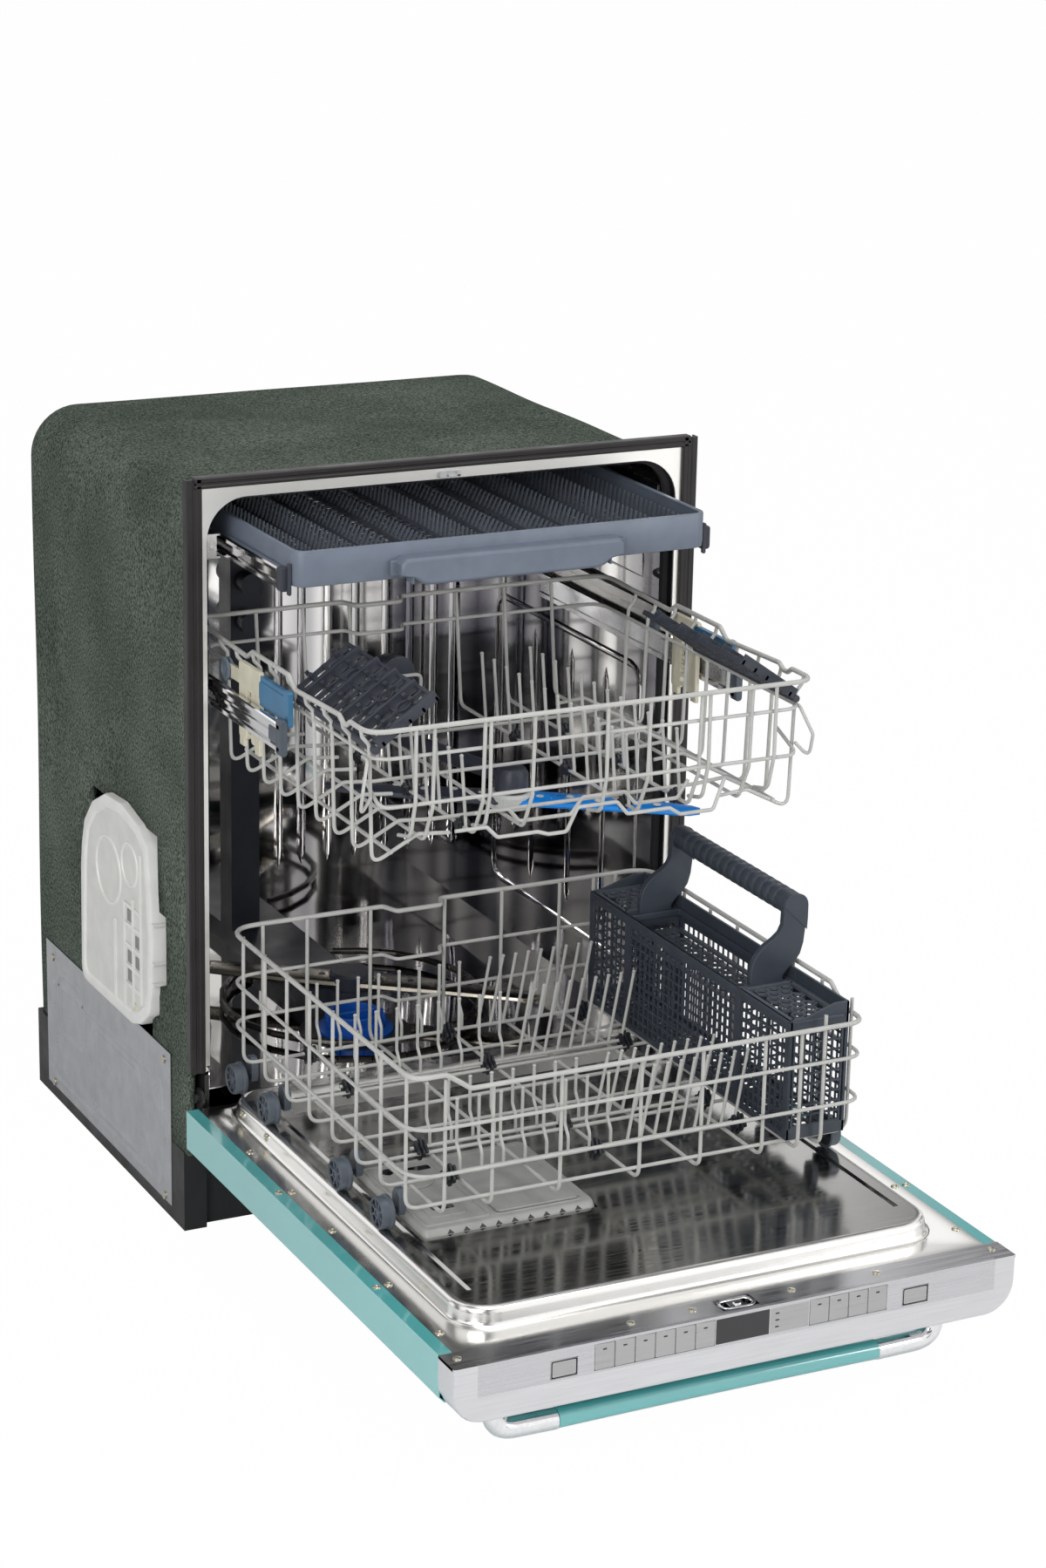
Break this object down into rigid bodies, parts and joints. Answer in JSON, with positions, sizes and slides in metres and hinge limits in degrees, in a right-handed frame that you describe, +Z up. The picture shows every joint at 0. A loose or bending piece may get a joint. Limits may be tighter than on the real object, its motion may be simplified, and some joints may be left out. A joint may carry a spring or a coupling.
{
  "type": "dishwasher",
  "caption": "Built-in dishwasher with its door lowered and its cutlery tray, cup rack and plate rack drawn out on slides and wheels",
  "frame": {"origin": "on the floor under the middle of the cabinet's base", "axes": "+Z up, +X to the right of someone facing the door, +Y towards the back"},
  "size_m": [0.61, 1.1762, 0.838],
  "materials": {
    "base_black": "satin moulded plastic",
    "galvanised": "galvanised sheet",
    "screw_steel": "plated screws",
    "felt": "compressed recycled felt",
    "tub_steel": "bright rolled stainless",
    "liner_steel": "bright rolled stainless",
    "trim_black": "satin plastic edging",
    "seal_rubber": "matt rubber",
    "pale_plastic": "natural plastic",
    "conduit_grey": "moulded grey plastic",
    "sump_plastic": "moulded black plastic",
    "heater_steel": "heat-tinted steel",
    "rail_steel": "rolled steel",
    "hinge_steel": "black coated steel",
    "blue_plastic": "blue moulded plastic",
    "teal_paint": "teal enamel",
    "console_chrome": "plated",
    "strip_steel": "brushed face",
    "window_black": "smoked window",
    "key_film": "satin metallic film",
    "dispenser_grey": "grey moulded plastic",
    "rack_coating": "grey nylon-coated wire",
    "slate_plastic": "slate moulded plastic",
    "cream_plastic": "cream moulded plastic"
  },
  "bodies": {
    "cabinet": {"base_tray": "base_black", "levelling_feet": "base_black", "side_panels": "galvanised", "panel_screws": "screw_steel", "sound_blanket": "felt", "tub": "tub_steel", "edge_trim": "trim_black", "door_seal": "seal_rubber", "door_strike": "pale_plastic", "air_break_tank": "pale_plastic", "feed_conduit": "conduit_grey", "sump": "sump_plastic", "heater_element": "heater_steel", "rail_channels": "rail_steel", "circulation_pump": "sump_plastic", "hinge_brackets": "hinge_steel"},
    "door": {"door_skin": "teal_paint", "door_liner": "liner_steel", "console": "console_chrome", "control_strip": "strip_steel", "display_window": "window_black", "handle_bar": "teal_paint", "handle_ends": "console_chrome", "door_screws": "screw_steel", "door_latch": "sump_plastic", "dispenser_body": "dispenser_grey", "hinge_arms": "hinge_steel"},
    "lower_rack": {"lower_rack_frame": "rack_coating", "silverware_basket": "slate_plastic", "basket_handle": "slate_plastic"},
    "upper_rack": {"upper_rack_frame": "rack_coating", "rack_adjusters": "cream_plastic", "upper_feed_tube": "conduit_grey"},
    "tray": {"cutlery_tray": "slate_plastic", "tray_rails": "rail_steel"},
    "filter_cup": {"filter_cup": "blue_plastic"},
    "lower_spray_arm": {"lower_spray_arm": "tub_steel"},
    "dispenser_lid": {"dispenser_lid": "dispenser_grey"},
    "lower_tines_rear": {"lower_tines_rear": "rack_coating"},
    "lower_tines_front": {"lower_tines_front": "rack_coating"},
    "upper_rails": {"upper_rails": "rail_steel"},
    "upper_spray_arm": {"upper_spray_arm": "blue_plastic"},
    "cup_shelf_left": {"cup_shelf_left": "conduit_grey"},
    "cup_shelf_right": {"cup_shelf_right": "conduit_grey"},
    "key_power": {"key_power": "key_film"},
    "key_cycle_1": {"key_cycle_1": "key_film"},
    "key_cycle_2": {"key_cycle_2": "key_film"},
    "key_cycle_3": {"key_cycle_3": "key_film"},
    "key_cycle_4": {"key_cycle_4": "key_film"},
    "key_cycle_5": {"key_cycle_5": "key_film"},
    "key_cycle_6": {"key_cycle_6": "key_film"},
    "key_option_1": {"key_option_1": "key_film"},
    "key_option_2": {"key_option_2": "key_film"},
    "key_option_3": {"key_option_3": "key_film"},
    "key_option_4": {"key_option_4": "key_film"},
    "key_start": {"key_start": "key_film"},
    "wheel_pair_1": {"wheel_pair_1": "slate_plastic"},
    "wheel_pair_2": {"wheel_pair_2": "slate_plastic"},
    "wheel_pair_3": {"wheel_pair_3": "slate_plastic"},
    "wheel_pair_4": {"wheel_pair_4": "slate_plastic"}
  },
  "joints": [
    {"name": "door_hinge", "type": "hinge", "parent": "cabinet", "child": "door", "pos_m": [0, -0.247, 0.16], "axis": [-1, 0, 0], "range_deg": [-2, 0]},
    {"name": "lower_rack_slide", "type": "slide", "parent": "cabinet", "child": "lower_rack", "axis": [0, 1, 0], "range_m": [0, 0.484]},
    {"name": "upper_rack_slide", "type": "slide", "parent": "cabinet", "child": "upper_rack", "axis": [0, 1, 0], "range_m": [-0.05, 0.372]},
    {"name": "upper_rail_slide", "type": "slide", "parent": "cabinet", "child": "upper_rails", "axis": [0, 1, 0], "range_m": [-0.03, 0.19]},
    {"name": "tray_slide", "type": "slide", "parent": "cabinet", "child": "tray", "axis": [0, 1, 0], "range_m": [-0.22, 0.18]},
    {"name": "filter_twist", "type": "hinge", "parent": "cabinet", "child": "filter_cup", "pos_m": [-0.03, -0.085, 0.15], "axis": [0, 0, 1], "range_deg": [0, 90]},
    {"name": "lower_arm_spin", "type": "hinge", "parent": "cabinet", "child": "lower_spray_arm", "pos_m": [0, -0.007, 0.17], "axis": [0, 0, 1], "continuous": true},
    {"name": "upper_arm_spin", "type": "hinge", "parent": "upper_rack", "child": "upper_spray_arm", "pos_m": [0.01, -0.39, 0.505], "axis": [0, 0, 1], "continuous": true},
    {"name": "cup_shelf_left_fold", "type": "hinge", "parent": "upper_rack", "child": "cup_shelf_left", "pos_m": [-0.233, -0.48, 0.6373], "axis": [0, -1, 0], "range_deg": [-30, 50]},
    {"name": "cup_shelf_right_fold", "type": "hinge", "parent": "upper_rack", "child": "cup_shelf_right", "pos_m": [0.233, -0.48, 0.6373], "axis": [0, 1, 0], "range_deg": [-30, 50]},
    {"name": "tines_rear_fold", "type": "hinge", "parent": "lower_rack", "child": "lower_tines_rear", "pos_m": [0, -0.395, 0.212], "axis": [1, 0, 0], "range_deg": [0, 80]},
    {"name": "tines_front_fold", "type": "hinge", "parent": "lower_rack", "child": "lower_tines_front", "pos_m": [0, -0.572, 0.212], "axis": [1, 0, 0], "range_deg": [0, 60]},
    {"name": "lid_slide", "type": "slide", "parent": "door", "child": "dispenser_lid", "axis": [0, 1, 0], "range_m": [0, 0.06]},
    {"name": "wheel_1_spin", "type": "hinge", "parent": "lower_rack", "child": "wheel_pair_1", "pos_m": [0, -0.276, 0.188], "axis": [1, 0, 0], "continuous": true},
    {"name": "wheel_2_spin", "type": "hinge", "parent": "lower_rack", "child": "wheel_pair_2", "pos_m": [0, -0.365, 0.188], "axis": [1, 0, 0], "continuous": true},
    {"name": "wheel_3_spin", "type": "hinge", "parent": "lower_rack", "child": "wheel_pair_3", "pos_m": [0, -0.55, 0.188], "axis": [1, 0, 0], "continuous": true},
    {"name": "wheel_4_spin", "type": "hinge", "parent": "lower_rack", "child": "wheel_pair_4", "pos_m": [0, -0.652, 0.188], "axis": [1, 0, 0], "continuous": true},
    {"name": "key_power_press", "type": "slide", "parent": "door", "child": "key_power", "axis": [0, 1, 0], "range_m": [0, 0.001], "stiffness_N_per_m": 800, "springref_m": -0.0005},
    {"name": "key_cycle_1_press", "type": "slide", "parent": "door", "child": "key_cycle_1", "axis": [0, 1, 0], "range_m": [0, 0.001], "stiffness_N_per_m": 800, "springref_m": -0.0005},
    {"name": "key_cycle_2_press", "type": "slide", "parent": "door", "child": "key_cycle_2", "axis": [0, 1, 0], "range_m": [0, 0.001], "stiffness_N_per_m": 800, "springref_m": -0.0005},
    {"name": "key_cycle_3_press", "type": "slide", "parent": "door", "child": "key_cycle_3", "axis": [0, 1, 0], "range_m": [0, 0.001], "stiffness_N_per_m": 800, "springref_m": -0.0005},
    {"name": "key_cycle_4_press", "type": "slide", "parent": "door", "child": "key_cycle_4", "axis": [0, 1, 0], "range_m": [0, 0.001], "stiffness_N_per_m": 800, "springref_m": -0.0005},
    {"name": "key_cycle_5_press", "type": "slide", "parent": "door", "child": "key_cycle_5", "axis": [0, 1, 0], "range_m": [0, 0.001], "stiffness_N_per_m": 800, "springref_m": -0.0005},
    {"name": "key_cycle_6_press", "type": "slide", "parent": "door", "child": "key_cycle_6", "axis": [0, 1, 0], "range_m": [0, 0.001], "stiffness_N_per_m": 800, "springref_m": -0.0005},
    {"name": "key_option_1_press", "type": "slide", "parent": "door", "child": "key_option_1", "axis": [0, 1, 0], "range_m": [0, 0.001], "stiffness_N_per_m": 800, "springref_m": -0.0005},
    {"name": "key_option_2_press", "type": "slide", "parent": "door", "child": "key_option_2", "axis": [0, 1, 0], "range_m": [0, 0.001], "stiffness_N_per_m": 800, "springref_m": -0.0005},
    {"name": "key_option_3_press", "type": "slide", "parent": "door", "child": "key_option_3", "axis": [0, 1, 0], "range_m": [0, 0.001], "stiffness_N_per_m": 800, "springref_m": -0.0005},
    {"name": "key_option_4_press", "type": "slide", "parent": "door", "child": "key_option_4", "axis": [0, 1, 0], "range_m": [0, 0.001], "stiffness_N_per_m": 800, "springref_m": -0.0005},
    {"name": "key_start_press", "type": "slide", "parent": "door", "child": "key_start", "axis": [0, 1, 0], "range_m": [0, 0.001], "stiffness_N_per_m": 800, "springref_m": -0.0005}
  ],
  "couplings": [
    {"joint": "upper_rail_slide", "follows": "upper_rack_slide", "ratio": 0.5},
    {"joint": "wheel_1_spin", "follows": "lower_rack_slide", "rad_per_m": -56.497},
    {"joint": "wheel_2_spin", "follows": "lower_rack_slide", "rad_per_m": -56.497},
    {"joint": "wheel_3_spin", "follows": "lower_rack_slide", "rad_per_m": -56.497},
    {"joint": "wheel_4_spin", "follows": "lower_rack_slide", "rad_per_m": -56.497}
  ]
}
